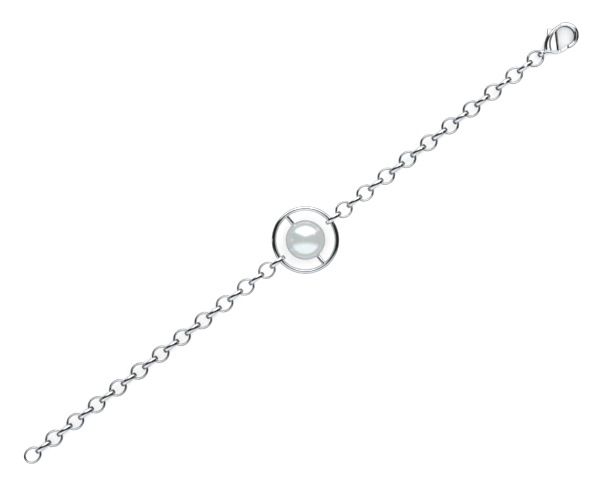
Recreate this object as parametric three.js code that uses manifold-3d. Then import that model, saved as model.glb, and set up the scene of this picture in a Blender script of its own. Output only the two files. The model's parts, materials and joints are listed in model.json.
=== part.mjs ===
// A pearl bracelet, undone and laid out straight on a flat surface: a cable chain of links that lie flat and
// stand on edge in turn, a wire ring that carries one pearl on a crossbar, and a lobster clasp on its back.
// Millimetres. +X runs along the chain to the clasp, +Z is up, and the surface is z = 0.
import * as THREE from "three";
import { mergeVertices } from "three/addons/utils/BufferGeometryUtils.js";
import Module from "manifold-3d";

const wasm = await Module();
wasm.setup();

// Pearl, and the ring and crossbar that are soldered together to carry it
const PEARL_DIAMETER = 10;
const PEARL_BORE = 1.15;
const RING_RADIUS = 7.98; // to the middle of the wire
const RING_WIRE = 1.15;
const BAR_WIRE = 0.95;

// Chain link: an oval of flattened wire, measured to the middle of its band
const LINK_HALF_LENGTH = 2.1;
const LINK_HALF_WIDTH = 1.794;
const BAND_THICKNESS = 0.56;
const BAND_WIDTH = 1.12;
const BAND_FLAT = 0.5; // width of the band's flat inner and outer faces

// Chain: links joined a pitch apart, which come down from the ring to the surface
const PITCH = 3.449;
const FIRST_JOINT = 7.34; // from the pearl's centre to the point where the first link pulls on the ring
const LEFT_LINKS = 24;
const RIGHT_LINKS = 20;
const SLOPING_LINKS = 8;
const LAST_LINK_DROP = 0.597; // how far the last link comes down, over a pitch, to the clasp's tail

// Lobster clasp: its outline is measured from its tail, x towards the hook
const CLASP_THICKNESS = 2.8;
const CLASP_CHAMFER = 0.22;
const TAIL_TO_LINK = 1.26; // from the last link's wire to the tail end of the clasp's body
const HOOK = { x: 6.38, y: -0.14, radius: 3.3 }; // outer round of the hook
const EYE = { x: 6.16, y: -0.13, radius: 2.37 }; // round of the opening
const PIVOT = { x: 1.65, y: -0.51 };
const LEVER_PLATE = 1; // thickness of the lever between the clasp's cheeks
const GATE_WIDTH = 1.7; // thickness of the gate that closes the opening
const GATE_REACH = 3.97; // from the pivot to the gate's tip
const LEVER_CLEARANCE = 0.2; // from the gate's tip to the hook's
const SIDE_CLEARANCE = 0.1; // from the lever's plate to each cheek
const PIN_DIAMETER = 0.8;
const PIN_LENGTH = 2.25;
const PIN_CLEARANCE = 0.1;

// Tail loop of the clasp, seen from the side: x along the chain, y up from the loop's middle
const LOOP_OUTER = { x: 0.15, halfLength: 1.18, halfHeight: 1.25 };
const LOOP_HOLE = { halfLength: 0.5, halfHeight: 0.725 };
const LOOP_WIDTH = 1.2;
const LOOP_CHAMFER = 0.12;

const silver = { color: 0xdfe2e4, roughness: 0.12, metalness: 1 };
const nacre = { color: 0xecebe6, roughness: 0.2, metalness: 0 };

function named(name, geometry, finish) {
  const mesh = new THREE.Mesh(geometry, new THREE.MeshStandardMaterial(finish));
  mesh.name = name;
  return mesh;
}

// A closed geometry as a solid that can be joined and cut.
function solidOf(geometry) {
  const bare = geometry.clone();
  bare.deleteAttribute("normal");
  bare.deleteAttribute("uv");
  const merged = mergeVertices(bare, 1e-4);
  return new wasm.Manifold(
    new wasm.Mesh({
      numProp: 3,
      vertProperties: merged.getAttribute("position").array,
      triVerts: new Uint32Array(merged.index.array),
    }),
  );
}

function geometryOf(solid) {
  const mesh = solid.simplify(0.002).getMesh();
  const geometry = new THREE.BufferGeometry();
  geometry.setAttribute("position", new THREE.BufferAttribute(mesh.vertProperties, 3));
  geometry.setIndex(new THREE.BufferAttribute(mesh.triVerts, 1));
  geometry.computeVertexNormals();
  return geometry;
}

// A plate of an outline, centred on z = 0, whose edges may be chamfered.
function plate(shape, thickness, chamfer = 0) {
  const geometry = new THREE.ExtrudeGeometry(shape, {
    depth: thickness - 2 * chamfer,
    curveSegments: 9,
    bevelEnabled: chamfer > 0,
    bevelSegments: 1,
    bevelSize: chamfer,
    bevelThickness: chamfer,
    bevelOffset: -chamfer,
  });
  return geometry.translate(0, 0, chamfer - thickness / 2);
}

function postAlongZ(diameter, length, sides) {
  return new THREE.CylinderGeometry(diameter / 2, diameter / 2, length, sides).rotateX(Math.PI / 2);
}

// Pearl and ring ---------------------------------------------------------------------------------------

function ringSetting() {
  const ring = solidOf(new THREE.TorusGeometry(RING_RADIUS, RING_WIRE / 2, 8, 48));
  const bar = new THREE.CylinderGeometry(BAR_WIRE / 2, BAR_WIRE / 2, 2 * RING_RADIUS, 12);
  return named("ring_setting", geometryOf(ring.add(solidOf(bar))), silver);
}

function pearl() {
  const ball = new THREE.SphereGeometry(PEARL_DIAMETER / 2, 28, 18).rotateX(Math.PI / 2);
  const bore = new THREE.CylinderGeometry(PEARL_BORE / 2, PEARL_BORE / 2, 1.1 * PEARL_DIAMETER, 12);
  return named("pearl", geometryOf(solidOf(ball).subtract(solidOf(bore))), nacre);
}

// Chain ------------------------------------------------------------------------------------------------

// A round link of the band's section, drawn out along X to the link's length. It lies flat.
function linkGeometry() {
  const half = BAND_THICKNESS / 2;
  const profile = [
    [LINK_HALF_WIDTH + half, -BAND_FLAT / 2],
    [LINK_HALF_WIDTH + half, BAND_FLAT / 2],
    [LINK_HALF_WIDTH, BAND_WIDTH / 2],
    [LINK_HALF_WIDTH - half, BAND_FLAT / 2],
    [LINK_HALF_WIDTH - half, -BAND_FLAT / 2],
    [LINK_HALF_WIDTH, -BAND_WIDTH / 2],
    [LINK_HALF_WIDTH + half, -BAND_FLAT / 2],
  ].map(([radius, height]) => new THREE.Vector2(radius, height));
  const geometry = new THREE.LatheGeometry(profile, 16).rotateX(Math.PI / 2);
  const position = geometry.getAttribute("position");
  for (let i = 0; i < position.count; i++) {
    const [x, y] = [position.getX(i), position.getY(i)];
    position.setX(i, x + ((LINK_HALF_LENGTH - LINK_HALF_WIDTH) * x) / Math.hypot(x, y));
  }
  return geometryOf(solidOf(geometry));
}

const restHeight = LINK_HALF_WIDTH + BAND_THICKNESS / 2; // of a link that stands on edge on the surface
const ringHeight = PEARL_DIAMETER / 2;

// The fall of each link over a pitch: steepest at the ring, and none once the chain is on the surface.
function fall(index) {
  const steepest = (2 * (ringHeight - restHeight)) / SLOPING_LINKS;
  return steepest * Math.max(0, 1 - (index + 0.5) / SLOPING_LINKS);
}

// One side of the chain, from the ring outwards. It returns the point that the next link would pull on.
function chain(group, side, count, lastFall) {
  const geometry = linkGeometry();
  const joint = new THREE.Vector3(FIRST_JOINT, 0, ringHeight);
  for (let index = 0; index < count; index++) {
    const slope = Math.asin((index === count - 1 ? lastFall : fall(index)) / PITCH);
    const step = new THREE.Vector3(Math.cos(slope), 0, -Math.sin(slope)).multiplyScalar(PITCH);
    const number = String(index + 1).padStart(2, "0");
    const link = named(`chain_${side < 0 ? "left" : "right"}_${number}`, geometry, silver);
    link.position.copy(joint).addScaledVector(step, 0.5);
    link.position.x *= side;
    link.rotation.set(index % 2 === 0 ? Math.PI / 2 : 0, side * slope, 0, "YXZ");
    group.add(link);
    joint.add(step);
  }
  return joint;
}

// Clasp ------------------------------------------------------------------------------------------------

// The hook's whole outline in one line: tail, underside, opening, tip, outer round, shoulder and back.
function bodyShape() {
  const shape = new THREE.Shape();
  shape.moveTo(-0.3, -0.5);
  shape.lineTo(0.05, -0.76);
  shape.lineTo(2.1, -2.27);
  shape.lineTo(2.8, -1.91);
  shape.absarc(EYE.x, EYE.y, EYE.radius, 1.97, -2.1, true);
  shape.absarc(HOOK.x, HOOK.y, HOOK.radius, -2.1, 1.75, false);
  shape.bezierCurveTo(3, 3.3, 1, 2, 0.1, 0.45);
  shape.lineTo(-0.3, 0.4);
  return shape;
}

// The lever between the cheeks: thumb tab, stem, hub, the knuckle below the body and the gate's root.
function leverShape() {
  const shape = new THREE.Shape();
  shape.moveTo(4.05, 4.05);
  shape.lineTo(3.8, 4.05);
  shape.lineTo(2.93, 3.05);
  shape.lineTo(0.72, -0.15);
  shape.lineTo(0.62, -0.6);
  shape.quadraticCurveTo(0.7, -2, 2.16, -2.62);
  shape.lineTo(3.2, -2.9);
  shape.lineTo(3.2, -2.2);
  shape.lineTo(2.4, -1.6);
  shape.lineTo(2.6, -0.6);
  shape.lineTo(4.71, 3.05);
  return shape;
}

// The gate from its root to its tip, which is an arc about the pivot.
function gateShape() {
  const shape = new THREE.Shape();
  shape.moveTo(2.95, -2.15);
  shape.lineTo(2.95, -2.84);
  shape.lineTo(3.7, -3);
  shape.absarc(PIVOT.x, PIVOT.y, GATE_REACH, -0.71, -0.49, false);
  shape.lineTo(4.2, -2.3);
  return shape;
}

// The slot between the cheeks: all that the lever's plate sweeps as it swings, and room to move.
function slotShape() {
  const shape = new THREE.Shape();
  shape.moveTo(0.42, -0.5);
  shape.lineTo(0.42, -3.6);
  shape.lineTo(3.9, -3.6);
  shape.lineTo(3.9, -0.9);
  shape.lineTo(2.8, -0.65);
  shape.lineTo(4.93, 3.05);
  shape.lineTo(4.93, 4.5);
  shape.lineTo(1.08, 4.5);
  shape.lineTo(1.08, 3.4);
  return shape;
}

// The gap that the gate fills, up to the tip of the hook.
function gapShape() {
  const shape = new THREE.Shape();
  shape.moveTo(2.95, -2);
  shape.lineTo(2.95, -4.3);
  shape.absarc(PIVOT.x, PIVOT.y, GATE_REACH + LEVER_CLEARANCE, -1.1, -0.36, false);
  return shape;
}

function tailLoop() {
  const shape = new THREE.Shape();
  shape.absellipse(LOOP_OUTER.x, 0, LOOP_OUTER.halfLength, LOOP_OUTER.halfHeight, 0, 2 * Math.PI);
  const hole = new THREE.Path();
  hole.absellipse(0, 0, LOOP_HOLE.halfLength, LOOP_HOLE.halfHeight, 0, 2 * Math.PI, true);
  shape.holes.push(hole);
  const loop = plate(shape, LOOP_WIDTH, LOOP_CHAMFER).rotateX(Math.PI / 2);
  return loop.translate(-TAIL_TO_LINK, 0, 0);
}

function clasp() {
  const group = new THREE.Group();
  const boreDiameter = PIN_DIAMETER + 2 * PIN_CLEARANCE;
  const pinHeight = (PIN_LENGTH - CLASP_THICKNESS) / 2; // its lower end is flush with the underside
  const bore = solidOf(postAlongZ(boreDiameter, PIN_LENGTH + 2 * PIN_CLEARANCE, 16));
  const placedBore = bore.translate([PIVOT.x, PIVOT.y, pinHeight]);
  const body = solidOf(plate(bodyShape(), CLASP_THICKNESS, CLASP_CHAMFER))
    .add(solidOf(tailLoop()))
    .subtract(solidOf(plate(slotShape(), LEVER_PLATE + 2 * SIDE_CLEARANCE)))
    .subtract(solidOf(plate(gapShape(), 2 * CLASP_THICKNESS)))
    .subtract(placedBore);
  group.add(named("clasp_body", geometryOf(body), silver));
  const lever = solidOf(plate(leverShape(), LEVER_PLATE))
    .add(solidOf(plate(gateShape(), GATE_WIDTH)))
    .subtract(placedBore);
  group.add(named("clasp_lever", geometryOf(lever), silver));
  const pin = named("clasp_pin", postAlongZ(PIN_DIAMETER, PIN_LENGTH, 16), silver);
  pin.position.set(PIVOT.x, PIVOT.y, pinHeight);
  group.add(pin);
  return group;
}

// Bracelet ---------------------------------------------------------------------------------------------

const bracelet = new THREE.Group();
const gem = pearl();
const ring = ringSetting();
gem.position.z = ringHeight;
ring.position.z = ringHeight;
bracelet.add(gem, ring);
chain(bracelet, -1, LEFT_LINKS, fall(LEFT_LINKS));
const lastJoint = chain(bracelet, 1, RIGHT_LINKS, LAST_LINK_DROP);

const fastener = clasp();
const jointToWire = LINK_HALF_LENGTH - PITCH / 2;
fastener.position.set(lastJoint.x + jointToWire + TAIL_TO_LINK, 0, CLASP_THICKNESS / 2);
bracelet.add(fastener);

const extent = new THREE.Box3().setFromObject(bracelet, true);
bracelet.position.x = -(extent.min.x + extent.max.x) / 2;

export default bracelet;
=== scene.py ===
"""Finishes a pearl bracelet around its frame: silver links, ring and lobster clasp, and one pearl."""

import json
import math

import bmesh
import bpy
import numpy as np
from mathutils import Matrix, Vector, noise


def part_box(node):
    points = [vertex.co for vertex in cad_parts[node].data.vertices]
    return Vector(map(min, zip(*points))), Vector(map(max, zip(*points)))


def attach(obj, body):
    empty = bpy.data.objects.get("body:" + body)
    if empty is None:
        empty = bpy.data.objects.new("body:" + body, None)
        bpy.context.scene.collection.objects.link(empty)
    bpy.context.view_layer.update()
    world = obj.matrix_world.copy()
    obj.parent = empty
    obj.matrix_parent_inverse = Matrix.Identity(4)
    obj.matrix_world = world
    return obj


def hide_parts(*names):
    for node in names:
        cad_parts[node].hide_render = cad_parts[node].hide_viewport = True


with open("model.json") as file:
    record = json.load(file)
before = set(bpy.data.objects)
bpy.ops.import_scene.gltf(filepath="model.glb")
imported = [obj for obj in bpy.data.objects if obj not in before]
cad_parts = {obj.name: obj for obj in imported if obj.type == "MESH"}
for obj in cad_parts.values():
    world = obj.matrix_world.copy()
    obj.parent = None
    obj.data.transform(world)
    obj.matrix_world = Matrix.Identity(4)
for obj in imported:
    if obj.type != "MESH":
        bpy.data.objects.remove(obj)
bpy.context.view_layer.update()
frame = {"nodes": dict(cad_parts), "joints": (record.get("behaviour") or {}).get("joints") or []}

bl_info = {
    "name": "Pearl Bracelet",
    "version": (1, 0, 0),
    "blender": (4, 5, 0),
    "location": "View3D > Sidebar > Bracelet",
    "description": "Models and finishes a pearl bracelet around its frame",
    "category": "Object",
}

MM = 0.001
LINK_NODES = sorted(n for n in frame["nodes"] if n.startswith("chain_"))
END_LINK = "chain_left_24"  # lies flat and level
PIVOT = Vector(frame["joints"][0]["pos_m"])
PIVOT_FROM_TAIL = Vector((1.65, -0.51, 1.4)) * MM  # where the hinge is, from the tail end of the clasp's body
CLASP_ORIGIN = PIVOT - PIVOT_FROM_TAIL
MERGE = 1e-7  # points of a piece nearer than this, in metres, are one
CLASP_MERGE = 1e-4  # and the same in the clasp's millimetres


# Settings ---------------------------------------------------------------------------------------------


def length_property(name, description, value):
    return bpy.props.FloatProperty(
        name=name,
        description=description,
        default=value,
        min=0.0,
        unit="LENGTH",
        subtype="DISTANCE",
        precision=5,
    )


def colour_property(name, description, value):
    return bpy.props.FloatVectorProperty(
        name=name, description=description, default=value, size=4, min=0.0, max=1.0, subtype="COLOR"
    )


class BraceletSizes(bpy.types.PropertyGroup):
    """Sizes of the wire, the band and the pearl."""

    band_thickness: length_property("Band thickness", "Thickness of a link's band", 0.56 * MM)
    band_width: length_property("Band width", "Width of a link's band", 1.12 * MM)
    ring_wire: length_property("Ring wire", "Diameter of the wire of the pearl's ring", 1.15 * MM)
    bar_wire: length_property("Bar wire", "Diameter of the bar that carries the pearl", 0.95 * MM)
    pearl_bore: length_property("Pearl bore", "Diameter of the hole drilled through the pearl", 1.1 * MM)


class BraceletColours(bpy.types.PropertyGroup):
    """Colours of the metal and the pearl."""

    silver: colour_property("Silver", "Colour of the polished silver", (0.91, 0.915, 0.925, 1.0))
    worn_silver: colour_property("Worn silver", "Colour of dulled silver", (0.78, 0.78, 0.79, 1.0))
    nacre: colour_property("Nacre", "Main colour of the pearl", (0.74, 0.76, 0.755, 1.0))
    nacre_rose: colour_property("Nacre rose", "Warm overtone of the pearl", (0.78, 0.745, 0.72, 1.0))
    nacre_green: colour_property("Nacre green", "Cool overtone of the pearl", (0.67, 0.75, 0.75, 1.0))
    floor: colour_property("Floor", "Colour of the surface the bracelet lies on", (0.93, 0.93, 0.93, 1.0))


# Shader groups ----------------------------------------------------------------------------------------

SCRATCH_TURNS = ((0.3, 0.2, 0.5), (0.3, 0.2, -0.9))  # the two ways that scratches run
SCRATCH_STRETCH = (1.0, 14.0, 6.0)  # makes them long and thin
SCRATCH_EDGE = (0.62, 0.78)  # the noise where a scratch starts to show and where it is full
SCRATCH_SHARE = 0.45  # roughness of a scratch next to that of a dull patch
PATCH_EDGE = (0.42, 0.7)
MOST_WEAR = 1.4  # a scratch in a dull patch
CLOUD_SCALE = 170.0
CLOUD_SHARE = 0.8  # of an overtone in the middle of a cloud
WARM_EDGE = (0.5, 0.72)  # the noise where the overtone starts and where it is full
COOL_EDGE = (0.5, 0.3)
SKIN_SCALE = 2600.0
SKIN_EDGE = (0.35, 0.7)
SKIN_ROUGHNESS = (0.2, 0.24)
BUMP_DISTANCE = 0.01 * MM


def feed(tree, value, socket):
    """Links another node's output to an input, or sets the input to a fixed value."""
    if isinstance(value, bpy.types.NodeSocket):
        tree.links.new(value, socket)
    else:
        socket.default_value = value


def new_group(name, inputs, outputs):
    group = bpy.data.node_groups.new(name, "ShaderNodeTree")
    for label, kind, value in inputs:
        group.interface.new_socket(label, in_out="INPUT", socket_type=kind).default_value = value
    for label, kind in outputs:
        group.interface.new_socket(label, in_out="OUTPUT", socket_type=kind)
    return group, group.nodes.new("NodeGroupInput"), group.nodes.new("NodeGroupOutput")


def noise_node(tree, vector, scale, detail, roughness=0.5):
    node = tree.nodes.new("ShaderNodeTexNoise")
    node.inputs["Detail"].default_value = detail
    node.inputs["Roughness"].default_value = roughness
    feed(tree, vector, node.inputs["Vector"])
    feed(tree, scale, node.inputs["Scale"])
    return node.outputs["Fac"]


def range_node(tree, value, low, high, to_low=0.0, to_high=1.0):
    node = tree.nodes.new("ShaderNodeMapRange")
    labels = ("Value", "From Min", "From Max", "To Min", "To Max")
    for label, given in zip(labels, (value, low, high, to_low, to_high)):
        feed(tree, given, node.inputs[label])
    return node.outputs["Result"]


def mix_colours(tree, factor, first, second):
    node = tree.nodes.new("ShaderNodeMix")
    node.data_type = "RGBA"
    for label, given in (("Factor", factor), ("A", first), ("B", second)):
        feed(tree, given, node.inputs[label])
    return node.outputs["Result"]


def math_node(tree, operation, *values):
    node = tree.nodes.new("ShaderNodeMath")
    node.operation = operation
    for index, given in enumerate(values):
        feed(tree, given, node.inputs[index])
    return node.outputs[0]


def vector_node(tree, operation, first, second):
    node = tree.nodes.new("ShaderNodeVectorMath")
    node.operation = operation
    feed(tree, first, node.inputs[0])
    feed(tree, second, node.inputs[1])
    return node.outputs["Value"]


def handling_marks_group():
    """Fine scratches in two directions and soft dull patches, as polished metal gets from wear."""
    group, inside, out = new_group(
        "handling_marks",
        [
            ("Vector", "NodeSocketVector", (0, 0, 0)),
            ("Scratch Scale", "NodeSocketFloat", 900.0),
            ("Patch Scale", "NodeSocketFloat", 220.0),
            ("Roughness Low", "NodeSocketFloat", 0.03),
            ("Roughness High", "NodeSocketFloat", 0.12),
        ],
        [("Patches", "NodeSocketFloat"), ("Roughness", "NodeSocketFloat"), ("Height", "NodeSocketFloat")],
    )
    stretched = []
    for turn in SCRATCH_TURNS:
        mapping = group.nodes.new("ShaderNodeMapping")
        mapping.inputs["Rotation"].default_value = turn
        mapping.inputs["Scale"].default_value = SCRATCH_STRETCH
        group.links.new(inside.outputs["Vector"], mapping.inputs["Vector"])
        grain = noise_node(group, mapping.outputs["Vector"], inside.outputs["Scratch Scale"], detail=2.0)
        stretched.append(range_node(group, grain, *SCRATCH_EDGE))
    scratches = math_node(group, "MAXIMUM", *stretched)
    cloud = noise_node(group, inside.outputs["Vector"], inside.outputs["Patch Scale"], detail=4.0)
    patches = range_node(group, cloud, *PATCH_EDGE)
    wear = math_node(group, "MULTIPLY_ADD", scratches, SCRATCH_SHARE, patches)
    low, high = inside.outputs["Roughness Low"], inside.outputs["Roughness High"]
    group.links.new(patches, out.inputs["Patches"])
    group.links.new(range_node(group, wear, 0.0, MOST_WEAR, low, high), out.inputs["Roughness"])
    group.links.new(scratches, out.inputs["Height"])
    return group


def nacre_layers_group():
    """Faint clouds of two overtones and the fine skin of a pearl."""
    group, inside, out = new_group(
        "nacre_layers",
        [
            ("Vector", "NodeSocketVector", (0, 0, 0)),
            ("Base", "NodeSocketColor", (0.8, 0.8, 0.8, 1)),
            ("Warm", "NodeSocketColor", (0.8, 0.8, 0.8, 1)),
            ("Cool", "NodeSocketColor", (0.8, 0.8, 0.8, 1)),
        ],
        [("Color", "NodeSocketColor"), ("Roughness", "NodeSocketFloat"), ("Height", "NodeSocketFloat")],
    )
    clouds = noise_node(group, inside.outputs["Vector"], CLOUD_SCALE, detail=3.0)
    colour = inside.outputs["Base"]
    for overtone, edge in (("Warm", WARM_EDGE), ("Cool", COOL_EDGE)):
        share = range_node(group, clouds, *edge, 0.0, CLOUD_SHARE)
        colour = mix_colours(group, share, colour, inside.outputs[overtone])
    skin = noise_node(group, inside.outputs["Vector"], SKIN_SCALE, detail=5.0, roughness=0.65)
    group.links.new(colour, out.inputs["Color"])
    group.links.new(range_node(group, skin, *SKIN_EDGE, *SKIN_ROUGHNESS), out.inputs["Roughness"])
    group.links.new(skin, out.inputs["Height"])
    return group


def start_material(name, marks_group):
    """A material whose roughness and bump come from a group of marks on Object coordinates."""
    material = bpy.data.materials.new(name)
    material.use_nodes = True
    tree = material.node_tree
    shader = tree.nodes["Principled BSDF"]
    coordinates = tree.nodes.new("ShaderNodeTexCoord")
    placed = tree.nodes.new("ShaderNodeGroup")
    placed.node_tree = marks_group
    tree.links.new(coordinates.outputs["Object"], placed.inputs["Vector"])
    bump = tree.nodes.new("ShaderNodeBump")
    tree.links.new(placed.outputs["Height"], bump.inputs["Height"])
    tree.links.new(placed.outputs["Roughness"], shader.inputs["Roughness"])
    tree.links.new(bump.outputs["Normal"], shader.inputs["Normal"])
    return material, tree, shader, placed, bump


def silver_material(name, rough=(0.03, 0.12), scratch_depth=0.04):
    colours = bpy.context.scene.bracelet_colours
    marks = bpy.data.node_groups["handling_marks"]
    material, tree, shader, placed, bump = start_material(name, marks)
    placed.inputs["Roughness Low"].default_value = rough[0]
    placed.inputs["Roughness High"].default_value = rough[1]
    bump.inputs["Strength"].default_value = scratch_depth
    bump.inputs["Distance"].default_value = BUMP_DISTANCE
    tint = mix_colours(tree, placed.outputs["Patches"], colours.silver, colours.worn_silver)
    tree.links.new(tint, shader.inputs["Base Color"])
    shader.inputs["Metallic"].default_value = 1.0
    return material


def pearl_material():
    colours = bpy.context.scene.bracelet_colours
    material, tree, shader, placed, bump = start_material("pearl_nacre", nacre_layers_group())
    placed.inputs["Base"].default_value = colours.nacre
    placed.inputs["Warm"].default_value = colours.nacre_rose
    placed.inputs["Cool"].default_value = colours.nacre_green
    bump.inputs["Strength"].default_value = 0.02
    bump.inputs["Distance"].default_value = BUMP_DISTANCE
    tree.links.new(placed.outputs["Color"], shader.inputs["Base Color"])
    shader.inputs["IOR"].default_value = 1.65
    shader.inputs["Coat Weight"].default_value = 1.0
    shader.inputs["Coat Roughness"].default_value = 0.06
    shader.inputs["Coat IOR"].default_value = 1.7
    shader.inputs["Metallic"].default_value = 0.5  # nacre mirrors as well as scatters
    shader.inputs["Subsurface Weight"].default_value = 0.15
    shader.inputs["Subsurface Radius"].default_value = (0.0012, 0.0011, 0.001)
    shader.inputs["Subsurface Scale"].default_value = 1.0
    shader.inputs["Sheen Weight"].default_value = 0.15
    shader.inputs["Sheen Roughness"].default_value = 0.4
    return material


# Mesh helpers -----------------------------------------------------------------------------------------


def finish_mesh(bm, merge=0.0):
    """Joins points nearer than a distance, if one is given, and turns every face outwards."""
    if merge:
        bmesh.ops.remove_doubles(bm, verts=bm.verts, dist=merge)
    bmesh.ops.recalc_face_normals(bm, faces=bm.faces)


def object_from(bm, name, material, smooth=True):
    mesh = bpy.data.meshes.new(name)
    bm.to_mesh(mesh)
    bm.free()
    if smooth:
        mesh.shade_smooth()
    piece = bpy.data.objects.new(name, mesh)
    bpy.context.scene.collection.objects.link(piece)
    piece.data.materials.append(material)
    return piece


def add_oval(bm, radius, across, along, sides):
    """A flattened circle in the XZ plane at a distance from the Z axis, to be spun into a ring."""
    made = bmesh.ops.create_circle(bm, cap_ends=False, segments=sides, radius=1.0)
    turn = Matrix.Rotation(math.pi / 2, 4, "X")
    place = Matrix.Translation((radius, 0, 0)) @ Matrix.Diagonal((across, 1, along, 1)) @ turn
    bmesh.ops.transform(bm, matrix=place, verts=made["verts"])


def spin_round(bm, steps):
    bmesh.ops.spin(
        bm,
        geom=bm.verts[:] + bm.edges[:],
        axis=(0, 0, 1),
        cent=(0, 0, 0),
        angle=2 * math.pi,
        steps=steps,
        use_merge=True,
    )


def new_chain_of_edges(bm, points):
    verts = [bm.verts.new(p) for p in points]
    for first, second in zip(verts, verts[1:]):
        bm.edges.new((first, second))


def arc(centre, radius, start, end, steps):
    """Points of an arc in the XY plane, in either direction."""
    turns = [start + (end - start) * i / steps for i in range(steps + 1)]
    return [(centre[0] + radius * math.cos(a), centre[1] + radius * math.sin(a)) for a in turns]


def curve_through(points, steps):
    """Points of a Bezier curve of any degree over its control points."""
    result = []
    for i in range(steps + 1):
        level = [Vector(p) for p in points]
        while len(level) > 1:
            level = [a.lerp(b, i / steps) for a, b in zip(level, level[1:])]
        result.append(tuple(level[0]))
    return result


def plate_mesh(outline, low, high, bevel=0.0, segments=4):
    """A plate of an outline in clasp millimetres, between two heights, with rounded edges."""
    bm = bmesh.new()
    face = bm.faces.new([bm.verts.new((x, y, low)) for x, y in outline])
    raised = bmesh.ops.extrude_face_region(bm, geom=[face])
    top = [v for v in raised["geom"] if isinstance(v, bmesh.types.BMVert)]
    bmesh.ops.translate(bm, verts=top, vec=(0, 0, high - low))
    finish_mesh(bm, CLASP_MERGE)
    if bevel:
        rims = [e for e in bm.edges if abs(e.verts[0].co.z - e.verts[1].co.z) < CLASP_MERGE]
        bmesh.ops.bevel(
            bm,
            geom=rims,
            offset=bevel,
            affect="EDGES",
            segments=segments,
            profile=0.5,
            material=-1,
            clamp_overlap=True,
        )
        finish_mesh(bm, CLASP_MERGE)
    return bm


def temporary(bm, name):
    """An object for modifiers to work on."""
    mesh = bpy.data.meshes.new(name)
    bm.to_mesh(mesh)
    bm.free()
    thing = bpy.data.objects.new(name, mesh)
    bpy.context.scene.collection.objects.link(thing)
    return thing


def baked_by_modifiers(thing):
    """The object's mesh with its modifiers applied, in a fresh bmesh; the object is removed."""
    bpy.context.view_layer.update()
    evaluated = thing.evaluated_get(bpy.context.evaluated_depsgraph_get())
    bm = bmesh.new()
    bm.from_mesh(evaluated.to_mesh())
    evaluated.to_mesh_clear()
    bpy.data.objects.remove(thing)
    return bm


def cut_and_join(base, steps):
    """Joins or cuts a list of solids, each a pair of operation and bmesh."""
    thing = temporary(base, "work")
    helpers = []
    for index, (operation, bm) in enumerate(steps):
        helper = temporary(bm, f"helper_{index}")
        modifier = thing.modifiers.new(operation, "BOOLEAN")
        modifier.operation = operation
        modifier.object = helper
        modifier.solver = "EXACT"
        helpers.append(helper)
    result = baked_by_modifiers(thing)
    for helper in helpers:
        bpy.data.objects.remove(helper)
    return result


def cast_smooth(bm, voxel, repeats):
    """Remeshes a solid evenly and softens it, so its edges and joins flow as in a polished casting."""
    thing = temporary(bm, "casting")
    remesh = thing.modifiers.new("even", "REMESH")
    remesh.mode = "VOXEL"
    remesh.voxel_size = voxel
    soften = thing.modifiers.new("soften", "SMOOTH")
    soften.factor = 0.5
    soften.iterations = repeats
    return baked_by_modifiers(thing)


def place_clasp_mesh(bm):
    """From clasp millimetres, with the underside at 0, to metres in the bracelet's frame."""
    bm.transform(Matrix.Translation(CLASP_ORIGIN) @ Matrix.Diagonal((MM, MM, MM, 1)))


def post_mesh(radius, low, high, sides=48, edge=0.0):
    """A post on the pivot's axis, in clasp millimetres."""
    bm = bmesh.new()
    points = [(0, 0, low), (radius - edge, 0, low), (radius, 0, low + edge)]
    points += [(radius, 0, high - edge), (radius - edge, 0, high), (0, 0, high)]
    new_chain_of_edges(bm, points)
    spin_round(bm, sides)
    finish_mesh(bm, CLASP_MERGE)
    at = PIVOT_FROM_TAIL / MM
    bmesh.ops.translate(bm, verts=bm.verts, vec=(at.x, at.y, 0))
    return bm


# Chain ------------------------------------------------------------------------------------------------

LINK_SIDES = 20  # round the band
LINK_STEPS = 80  # round the oval


def link_pose(node):
    """Centre, slope along the chain and whether the link stands on edge, from the frame's own link."""
    low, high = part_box(node)
    centre = (Vector(low) + Vector(high)) / 2
    on_edge = (high[1] - low[1]) < 0.5 * (high[0] - low[0])  # a flat link is nearly as wide as it is long
    mesh = frame["nodes"][node].data
    points = np.empty(len(mesh.vertices) * 3)
    mesh.vertices.foreach_get("co", points)
    x, _, z = points.reshape(-1, 3).T
    spread = np.cov(x, z)
    slope = 0.5 * math.atan2(2 * spread[0, 1], spread[0, 0] - spread[1, 1])
    return centre, slope, on_edge


def link_mesh(half_length, half_width):
    """An oval link lying flat: a ring of flattened wire whose sections are moved out to the oval."""
    sizes = bpy.context.scene.bracelet_sizes
    bm = bmesh.new()
    add_oval(bm, half_width, sizes.band_thickness / 2, sizes.band_width / 2, LINK_SIDES)
    spin_round(bm, LINK_STEPS)
    stretch = half_length - half_width
    for vert in bm.verts:
        vert.co.x += stretch * vert.co.x / math.hypot(vert.co.x, vert.co.y)
    finish_mesh(bm)
    return bm


class BRACELET_OT_chain(bpy.types.Operator):
    """Model every link of the chain where the frame has it"""

    bl_idname = "bracelet.chain"
    bl_label = "Chain Links"

    def execute(self, context):
        sizes = context.scene.bracelet_sizes
        low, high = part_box(END_LINK)
        half_length = (high[0] - low[0] - sizes.band_thickness) / 2
        half_width = (high[1] - low[1] - sizes.band_thickness) / 2
        silver = silver_material("silver_links")
        for node in LINK_NODES:
            centre, slope, on_edge = link_pose(node)
            bm = link_mesh(half_length, half_width)
            stand = Matrix.Rotation(math.pi / 2 if on_edge else 0.0, 4, "X")
            bm.transform(Matrix.Translation(centre) @ Matrix.Rotation(-slope, 4, "Y") @ stand)
            piece = object_from(bm, f"fine_{node}", silver)
            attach(piece, "bracelet")
            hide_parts(node)
        return {"FINISHED"}


# Pearl and ring ---------------------------------------------------------------------------------------


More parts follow.
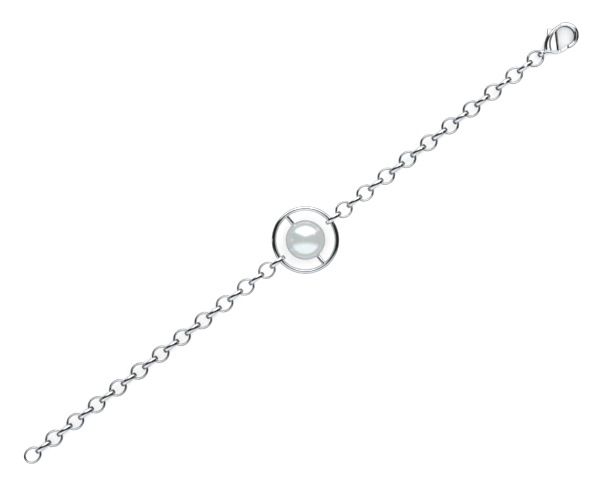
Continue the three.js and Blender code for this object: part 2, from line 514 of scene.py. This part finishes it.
RING_SIDES = 32  # round the wire
RING_STEPS = 192  # round the ring
BAR_STEPS = 40
BAR_FLARE = 0.16 * MM  # how far the bar widens where it meets the ring
FLARE_LENGTH = 3 * BAR_FLARE
FLARE_STEPS = 8
FLARE_POWER = 2.2
BORE_EDGE = 0.06 * MM  # chamfer at the mouth of the pearl's bore
PEARL_STEPS = 48  # from a mouth of the bore to the pearl's widest place
PEARL_SIDES = 160
LUMP_SCALES = (180.0, 420.0)  # of the coarse and the fine unevenness
FINE_SHARE = 0.4  # of the fine unevenness next to the coarse
LUMP_DEPTH = 0.0025  # part of the radius


def bar_profile(radius, reach):
    """Half section of a bar that widens into a small fillet where it is soldered to the ring."""
    points = [(0, 0), (radius, 0), (radius, reach - FLARE_LENGTH)]
    for i in range(1, FLARE_STEPS + 1):
        share = i / FLARE_STEPS
        points.append((radius + BAR_FLARE * share**FLARE_POWER, reach - FLARE_LENGTH * (1 - share)))
    points.append((0, reach))
    return points


def half_bar_mesh(radius, reach, side):
    """The bar from the ring's centre to its wire, towards one side of Y."""
    bm = bmesh.new()
    new_chain_of_edges(bm, [(r, 0, z) for r, z in bar_profile(radius, reach)])
    spin_round(bm, BAR_STEPS)
    finish_mesh(bm, MERGE)
    bm.transform(Matrix.Rotation(-side * math.pi / 2, 4, "X"))
    mesh = bpy.data.meshes.new("half_bar")
    bm.to_mesh(mesh)
    bm.free()
    return mesh


class BRACELET_OT_setting(bpy.types.Operator):
    """Model the ring and the bar that carry the pearl as one soldered piece"""

    bl_idname = "bracelet.setting"
    bl_label = "Ring Setting"

    def execute(self, context):
        sizes = context.scene.bracelet_sizes
        low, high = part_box("ring_setting")
        wire = sizes.ring_wire / 2
        radius = (high[0] - low[0]) / 2 - wire
        bm = bmesh.new()
        add_oval(bm, radius, wire, wire, RING_SIDES)
        spin_round(bm, RING_STEPS)
        for side in (1, -1):
            half_bar = half_bar_mesh(sizes.bar_wire / 2, radius, side)
            bm.from_mesh(half_bar)
            bpy.data.meshes.remove(half_bar)
        finish_mesh(bm)
        bm.transform(Matrix.Translation((Vector(low) + Vector(high)) / 2))
        piece = object_from(bm, "fine_ring_setting", silver_material("silver_ring", rough=(0.02, 0.09)))
        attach(piece, "bracelet")
        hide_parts("ring_setting")
        return {"FINISHED"}


def pearl_profile(radius, bore):
    """Half section of a drilled ball, closed, from the middle of its bore out over one half and back."""
    rim = math.asin((bore + BORE_EDGE) / radius)
    turns = [rim + (math.pi / 2 - rim) * i / PEARL_STEPS for i in range(PEARL_STEPS + 1)]
    half = [(bore, 0.0), (bore, radius * math.cos(rim) - BORE_EDGE)]
    half += [(radius * math.sin(turn), radius * math.cos(turn)) for turn in turns]
    return half + [(x, -z) for x, z in reversed(half[1:-1])] + half[:1]


def make_uneven(bm):
    """Takes a little off a ball about the origin, more in some places than in others."""
    most = 1 + FINE_SHARE
    coarse, fine = LUMP_SCALES
    for vert in bm.verts:
        lump = noise.noise(vert.co * coarse) + FINE_SHARE * noise.noise(vert.co * fine)
        vert.co *= 1 - LUMP_DEPTH * (lump + most) / (2 * most)


class BRACELET_OT_pearl(bpy.types.Operator):
    """Model the drilled pearl, a hair out of round as a real one is"""

    bl_idname = "bracelet.pearl"
    bl_label = "Pearl"

    def execute(self, context):
        low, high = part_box("pearl")
        bore = context.scene.bracelet_sizes.pearl_bore / 2
        bm = bmesh.new()
        new_chain_of_edges(bm, [(x, 0, z) for x, z in pearl_profile((high[2] - low[2]) / 2, bore)])
        spin_round(bm, PEARL_SIDES)
        finish_mesh(bm, MERGE)
        bm.transform(Matrix.Rotation(math.pi / 2, 4, "X"))
        make_uneven(bm)
        bm.transform(Matrix.Translation((Vector(low) + Vector(high)) / 2))
        piece = object_from(bm, "fine_pearl", pearl_material())
        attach(piece, "bracelet")
        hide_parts("pearl")
        return {"FINISHED"}


# Clasp ------------------------------------------------------------------------------------------------

# Sizes and places are in millimetres from the tail end of the clasp's body, with its underside at height 0.
HOOK_CENTRE = (6.38, -0.14)
HOOK_RADIUS = 3.3
EYE_CENTRE = (6.16, -0.13)
EYE_RADIUS = 2.37
CLASP_HEIGHT = 2.8
BODY_ROUNDING = 0.36
SLOT_HEIGHTS = (0.8, 2.0)
LEVER_HEIGHTS = (0.9, 1.9)
LEVER_ROUNDING = 0.08
GATE_HEIGHTS = (0.55, 2.25)
GATE_ROUNDING = 0.2
GATE_REACH = 3.97
TIP_CLEARANCE = 0.2
BORE_RADIUS = 0.5
BORE_TOP = 2.42  # it stops inside the upper cheek
PIN_RADIUS = 0.4
PIN_TOP = 2.25
PIN_EDGE = 0.05
PIN_SIDES = 64
NECK_HEIGHTS = (0.75, 2.05)
NECK_ROUNDING = 0.12
LOOP_CENTRE = -1.14
LOOP_HALF_LENGTH = 0.93
LOOP_HALF_HEIGHT = 0.99
LOOP_HALF_BAND = (0.28, 0.55)  # half of its band's thickness and width
LOOP_SIDES = 24
LOOP_STEPS = 72
OVERCUT = 1.0  # how far a cut starts outside the piece
DOME_START = 2.05  # height above which the upper face is domed
DOME_DEPTH = 0.42
DOME_WIDTH = 0.75
CREASE = ((1.0, -0.9), (1.7, 1.6), (4.3, 2.75), (6.9, 2.85))
CREASE_STEPS = 160
CREASE_WIDTH = 0.12
CREASE_DEPTH = 0.14
CREASE_FADE = 3 * CREASE_WIDTH  # beyond this the crease leaves the face alone
LEVEL_ENOUGH = 0.35  # upright part of a normal from which a face takes the crease
BODY_VOXEL = 0.055
BODY_SOFTENING = 10
DOME_SOFTENING = 4
LEVER_VOXEL = 0.045
LEVER_SOFTENING = 8


def arc_about_pivot(radius, start, end, steps):
    pivot = PIVOT_FROM_TAIL / MM
    return arc((pivot.x, pivot.y), radius, start, end, steps)


def body_outline():
    points = [(-0.3, -0.5), (0.05, -0.76), (2.1, -2.27), (2.55, -2.2), (2.8, -1.91)]
    points += arc(EYE_CENTRE, EYE_RADIUS, 1.97, -2.1, 60)
    points += arc(HOOK_CENTRE, HOOK_RADIUS, -2.1, 1.75, 80)
    points += curve_through([(5.79, 3.11), (3, 3.3), (1, 2), (0.1, 0.45)], 24)[1:]
    return points + [(-0.3, 0.4)]


def lever_outline():
    points = [(4.05, 4.03), (3.93, 4.07), (3.8, 4.03), (2.93, 3.05), (0.72, -0.15)]
    points += curve_through([(0.62, -0.6), (0.7, -2.0), (2.16, -2.62)], 16)
    return points + [(3.2, -2.9), (3.2, -2.2), (2.4, -1.6), (2.6, -0.6), (4.71, 3.05)]


def gate_outline():
    points = [(2.95, -2.15), (2.95, -2.84), (3.7, -3.0)]
    return points + arc_about_pivot(GATE_REACH, -0.71, -0.49, 10) + [(4.2, -2.3)]


def slot_outline():
    corners = [(0.42, -0.5), (0.42, -3.6), (3.9, -3.6), (3.9, -0.9), (2.8, -0.65)]
    return corners + [(4.93, 3.05), (4.93, 4.5), (1.08, 4.5), (1.08, 3.4)]


def gap_outline():
    return [(2.95, -2.0), (2.95, -4.3)] + arc_about_pivot(GATE_REACH + TIP_CLEARANCE, -1.1, -0.36, 24)


def tail_loop_mesh():
    """The loop at the clasp's tail, an oval standing on edge."""
    bm = bmesh.new()
    add_oval(bm, 1.0, *LOOP_HALF_BAND, LOOP_SIDES)
    spin_round(bm, LOOP_STEPS)
    for vert in bm.verts:
        reach = math.hypot(vert.co.x, vert.co.y)
        away = Vector((vert.co.x, vert.co.y)) / reach
        vert.co.x = away.x * (LOOP_HALF_LENGTH + reach - 1)
        vert.co.y = away.y * (LOOP_HALF_HEIGHT + reach - 1)
    finish_mesh(bm)
    place = Matrix.Translation((LOOP_CENTRE, 0, CLASP_HEIGHT / 2))
    bm.transform(place @ Matrix.Rotation(math.pi / 2, 4, "X"))
    return bm


def neck_mesh():
    """The short neck between the tail loop and the body."""
    outline = [(-0.75, -0.42), (0.4, -0.62), (0.4, 0.5), (-0.75, 0.42)]
    return plate_mesh(outline, *NECK_HEIGHTS, NECK_ROUNDING, segments=2)


def nearest(points, vert):
    """How far a vertex is, seen from above, from the nearest of some points."""
    return np.hypot(points[:, 0] - vert.co.x, points[:, 1] - vert.co.y).min()


def carve_crease(bm):
    """A fine groove in each face of the body, from the tail round the shoulder to the top of the hook."""
    groove = np.array(curve_through(CREASE, CREASE_STEPS))
    for vert in bm.verts:
        if abs(vert.normal.z) < LEVEL_ENOUGH:
            continue
        away = nearest(groove, vert)
        if away < CREASE_FADE:
            depth = CREASE_DEPTH * math.exp(-((away / CREASE_WIDTH) ** 2))
            vert.co.z -= math.copysign(depth, vert.normal.z)


def dome_face(bm):
    """Domes the upper face down to the clasp's outline, like a pillow. The underside stays flat."""
    corners = body_outline()
    steps = 8
    outline = []
    for first, second in zip(corners, corners[1:] + corners[:1]):
        outline += [tuple(Vector(first).lerp(Vector(second), i / steps)) for i in range(steps)]
    outline = np.array(outline)
    for vert in bm.verts:
        if vert.co.z < DOME_START:
            continue
        inside = nearest(outline, vert)
        share = (vert.co.z - DOME_START) / (CLASP_HEIGHT - DOME_START)
        vert.co.z -= DOME_DEPTH * share * (1 - min(inside / DOME_WIDTH, 1.0)) ** 2


def soften(bm, repeats):
    for _ in range(repeats):
        bmesh.ops.smooth_vert(
            bm, verts=bm.verts, factor=0.5, use_axis_x=True, use_axis_y=True, use_axis_z=True
        )


def add_clasp_piece(bm, name, body, node, material):
    bm.normal_update()
    place_clasp_mesh(bm)
    piece = object_from(bm, name, material)
    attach(piece, body)
    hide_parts(node)


class BRACELET_OT_clasp_body(bpy.types.Operator):
    """Model the lobster clasp's hook, cheeks and tail loop as one casting"""

    bl_idname = "bracelet.clasp_body"
    bl_label = "Clasp Body"

    def execute(self, context):
        steps = [
            ("UNION", neck_mesh()),
            ("UNION", tail_loop_mesh()),
            ("DIFFERENCE", plate_mesh(slot_outline(), *SLOT_HEIGHTS)),
            ("DIFFERENCE", plate_mesh(gap_outline(), -OVERCUT, CLASP_HEIGHT + OVERCUT)),
            ("DIFFERENCE", post_mesh(BORE_RADIUS, -OVERCUT, BORE_TOP)),
        ]
        bm = cut_and_join(plate_mesh(body_outline(), 0.0, CLASP_HEIGHT, BODY_ROUNDING), steps)
        bm = cast_smooth(bm, BODY_VOXEL, BODY_SOFTENING)
        dome_face(bm)
        soften(bm, DOME_SOFTENING)
        bm.normal_update()
        carve_crease(bm)
        silver = silver_material("silver_clasp", rough=(0.03, 0.13))
        add_clasp_piece(bm, "fine_clasp_body", "bracelet", "clasp_body", silver)
        return {"FINISHED"}


class BRACELET_OT_clasp_lever(bpy.types.Operator):
    """Model the clasp's lever: thumb tab, hub and gate"""

    bl_idname = "bracelet.clasp_lever"
    bl_label = "Clasp Lever"

    def execute(self, context):
        steps = [
            ("UNION", plate_mesh(gate_outline(), *GATE_HEIGHTS, GATE_ROUNDING)),
            ("DIFFERENCE", post_mesh(BORE_RADIUS, -OVERCUT, CLASP_HEIGHT + OVERCUT)),
        ]
        bm = cut_and_join(plate_mesh(lever_outline(), *LEVER_HEIGHTS, LEVER_ROUNDING, segments=2), steps)
        bm = cast_smooth(bm, LEVER_VOXEL, LEVER_SOFTENING)
        silver = silver_material("silver_lever", rough=(0.04, 0.16))
        add_clasp_piece(bm, "fine_clasp_lever", "lever", "clasp_lever", silver)
        return {"FINISHED"}


class BRACELET_OT_clasp_pin(bpy.types.Operator):
    """Model the pin that the lever turns on"""

    bl_idname = "bracelet.clasp_pin"
    bl_label = "Clasp Pin"

    def execute(self, context):
        silver = silver_material("silver_pin", rough=(0.06, 0.2), scratch_depth=0.1)
        bm = post_mesh(PIN_RADIUS, 0.0, PIN_TOP, PIN_SIDES, PIN_EDGE)
        add_clasp_piece(bm, "fine_clasp_pin", "bracelet", "clasp_pin", silver)
        return {"FINISHED"}


# Stage ------------------------------------------------------------------------------------------------

CHAIN_ANGLE = math.radians(38.277)  # the chain's rise above the view's horizontal
VIEW_WIDTH = 152.7 * MM  # real width of the floor that the view takes in
VIEW_SHIFT = 1.374 * MM  # the pearl is this far to the right of the view's middle
LENS = 180.0
SENSOR = 36.0
FLOOR_REACH = 1.5
DARK_WALL = (0.02, 0.02, 0.022, 1)
TOP_WALL = (1.3, 1.3, 1.3, 1)
LOW_WALL = (0.86, 0.92, 0.98, 1)
# Each bright wall has its side of the view, how much it narrows to the sides, where it starts and where it is
# full, and its colour.
WALLS = ((1.0, 0.33, 0.27, 0.4, TOP_WALL), (-1.0, 0.1, 0.15, 0.45, LOW_WALL))
STUDIO_WHITE = (1.5, 1.5, 1.5, 1)
# Painted reflections: colours the floor shows only in reflections, dark grey in the metal and a paler grey
# round the pearl.
PAINTED_DARK_FLOOR_REFLECTION = (0.06, 0.06, 0.062, 1)
PAINTED_PALE_FLOOR_REFLECTION = (0.2, 0.2, 0.21, 1)
PAINTED_PALE_REFLECTION_REACH = (18.0 * MM, 34.0 * MM)  # from the pearl, where the floor's painted paler reflection starts to darken and where it ends
KEY_UP_VIEW, KEY_HEIGHT = 0.42, 0.3
KEY_SIZE = (0.26, 0.16)
KEY_POWER = 0.22
SIDE_LEFT, SIDE_HEIGHT = 0.5, 0.05
SIDE_SIZE = (0.05, 0.05)
SIDE_POWER = 0.03
SIDE_COLOUR = (1, 0.9, 0.8)
CLASP_CARD_PLACE = Vector((3.0, 0.0, 45.0)) * MM  # from the tail end of the clasp's body
CLASP_CARD_SIZE = (0.024, 0.024)
CLASP_CARD_POWER = 0.0022


def view_right():
    return Vector((math.cos(CHAIN_ANGLE), -math.sin(CHAIN_ANGLE), 0))


def view_up():
    return Vector((math.sin(CHAIN_ANGLE), math.cos(CHAIN_ANGLE), 0))


def add_camera(target):
    data = bpy.data.cameras.new("camera")
    data.lens = LENS
    data.sensor_width = SENSOR
    data.clip_end = 10.0
    camera = bpy.data.objects.new("camera", data)
    distance = VIEW_WIDTH * LENS / SENSOR
    right, up = view_right(), view_up()
    camera.matrix_world = Matrix.Translation(target + Vector((0, 0, distance))) @ Matrix(
        (right, up, Vector((0, 0, 1)))
    ).transposed().to_4x4()
    bpy.context.scene.collection.objects.link(camera)
    bpy.context.scene.camera = camera


def add_softbox(name, place, target, size, power, colour=(1, 1, 1)):
    data = bpy.data.lights.new(name, "AREA")
    data.shape = "RECTANGLE"
    data.size, data.size_y = size
    data.energy = power
    data.color = colour
    light = bpy.data.objects.new(name, data)
    light.location = place
    light.rotation_euler = (Vector(place) - Vector(target)).to_track_quat("Z", "Y").to_euler()
    light.visible_camera = False
    bpy.context.scene.collection.objects.link(light)


def wall_reach(tree, ahead, aside, direction, side_loss):
    """How far a direction points to a bright wall: less where it also points to the side."""
    loss = math_node(tree, "MULTIPLY", math_node(tree, "ABSOLUTE", aside), -side_loss)
    return math_node(tree, "MULTIPLY_ADD", ahead, direction, loss)


def studio_world():
    """A pale studio. In reflections it has a bright wall on two sides and is dark between them."""
    world = bpy.data.worlds.new("studio")
    bpy.context.scene.world = world
    world.use_nodes = True
    tree = world.node_tree
    coordinates = tree.nodes.new("ShaderNodeTexCoord").outputs["Generated"]
    ahead = vector_node(tree, "DOT_PRODUCT", coordinates, view_up())
    aside = vector_node(tree, "DOT_PRODUCT", coordinates, view_right())
    seen = DARK_WALL
    for direction, side_loss, start, full, colour in WALLS:
        reach = wall_reach(tree, ahead, aside, direction, side_loss)
        seen = mix_colours(tree, range_node(tree, reach, start, full), seen, colour)
    rays = tree.nodes.new("ShaderNodeLightPath")
    studio = mix_colours(tree, rays.outputs["Is Glossy Ray"], STUDIO_WHITE, seen)
    tree.links.new(studio, tree.nodes["Background"].inputs["Color"])


def floor_material():
    """Pale paper with a painted reflection: seen in a reflection it is dark grey, and a painted paler grey
    round the pearl.
    """
    material = bpy.data.materials.new("floor_paper")
    material.use_nodes = True
    tree = material.node_tree
    shader = tree.nodes["Principled BSDF"]
    shader.inputs["Roughness"].default_value = 0.9
    shader.inputs["Specular IOR Level"].default_value = 0.1
    low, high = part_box("pearl")
    below_pearl = ((low[0] + high[0]) / 2, (low[1] + high[1]) / 2, 0)
    position = tree.nodes.new("ShaderNodeTexCoord").outputs["Object"]
    away = vector_node(tree, "DISTANCE", position, below_pearl)
    # Painted reflection: in a reflection the floor shows dark grey, and a paler grey near the pearl.
    painted_reflection = mix_colours(tree, range_node(tree, away, *PAINTED_PALE_REFLECTION_REACH), PAINTED_PALE_FLOOR_REFLECTION, PAINTED_DARK_FLOOR_REFLECTION)
    rays = tree.nodes.new("ShaderNodeLightPath")
    paper = bpy.context.scene.bracelet_colours.floor
    paper_and_painted_reflection = mix_colours(tree, rays.outputs["Is Glossy Ray"], paper, painted_reflection)
    tree.links.new(paper_and_painted_reflection, shader.inputs["Base Color"])
    return material


class BRACELET_OT_stage(bpy.types.Operator):
    """Set the floor, the studio light and the camera"""

    bl_idname = "bracelet.stage"
    bl_label = "Stage"

    def execute(self, context):
        low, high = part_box("pearl")
        centre = (Vector(low) + Vector(high)) / 2
        bm = bmesh.new()
        bmesh.ops.create_grid(bm, x_segments=2, y_segments=2, size=FLOOR_REACH)
        floor = object_from(bm, "floor", floor_material(), smooth=False)
        up, right = view_up(), view_right()
        key = centre + up * KEY_UP_VIEW + Vector((0, 0, KEY_HEIGHT))
        add_softbox("key", key, centre, KEY_SIZE, KEY_POWER)
        side = centre - right * SIDE_LEFT + Vector((0, 0, SIDE_HEIGHT))
        add_softbox("side", side, centre, SIDE_SIZE, SIDE_POWER, SIDE_COLOUR)
        card = CLASP_ORIGIN + CLASP_CARD_PLACE
        add_softbox("clasp_card", card, CLASP_ORIGIN, CLASP_CARD_SIZE, CLASP_CARD_POWER)
        studio_world()
        add_camera(Vector((centre.x, centre.y, 0)) - right * VIEW_SHIFT)
        context.scene.view_settings.view_transform = "Standard"
        return {"FINISHED"}


# Panel and registration -------------------------------------------------------------------------------

OPERATORS = (
    BRACELET_OT_stage,
    BRACELET_OT_chain,
    BRACELET_OT_setting,
    BRACELET_OT_pearl,
    BRACELET_OT_clasp_body,
    BRACELET_OT_clasp_lever,
    BRACELET_OT_clasp_pin,
)


class BRACELET_PT_panel(bpy.types.Panel):
    """Sizes, colours and steps of the bracelet."""

    bl_label = "Pearl Bracelet"
    bl_idname = "BRACELET_PT_panel"
    bl_space_type = "VIEW_3D"
    bl_region_type = "UI"
    bl_category = "Bracelet"

    def draw(self, context):
        for group in (context.scene.bracelet_sizes, context.scene.bracelet_colours):
            for name in group.bl_rna.properties.keys():
                if name not in ("rna_type", "name"):
                    self.layout.prop(group, name)
        for operator in OPERATORS:
            self.layout.operator(operator.bl_idname)


CLASSES = (BraceletSizes, BraceletColours, *OPERATORS, BRACELET_PT_panel)


def register():
    for item in CLASSES:
        bpy.utils.register_class(item)
    bpy.types.Scene.bracelet_sizes = bpy.props.PointerProperty(type=BraceletSizes)
    bpy.types.Scene.bracelet_colours = bpy.props.PointerProperty(type=BraceletColours)


def unregister():
    del bpy.types.Scene.bracelet_colours
    del bpy.types.Scene.bracelet_sizes
    for item in reversed(CLASSES):
        bpy.utils.unregister_class(item)


def main():
    register()
    handling_marks_group()
    bpy.ops.bracelet.stage()
    bpy.ops.bracelet.chain()
    bpy.ops.bracelet.setting()
    bpy.ops.bracelet.pearl()
    bpy.ops.bracelet.clasp_body()
    bpy.ops.bracelet.clasp_lever()
    bpy.ops.bracelet.clasp_pin()


if __name__ == "__main__":
    main()
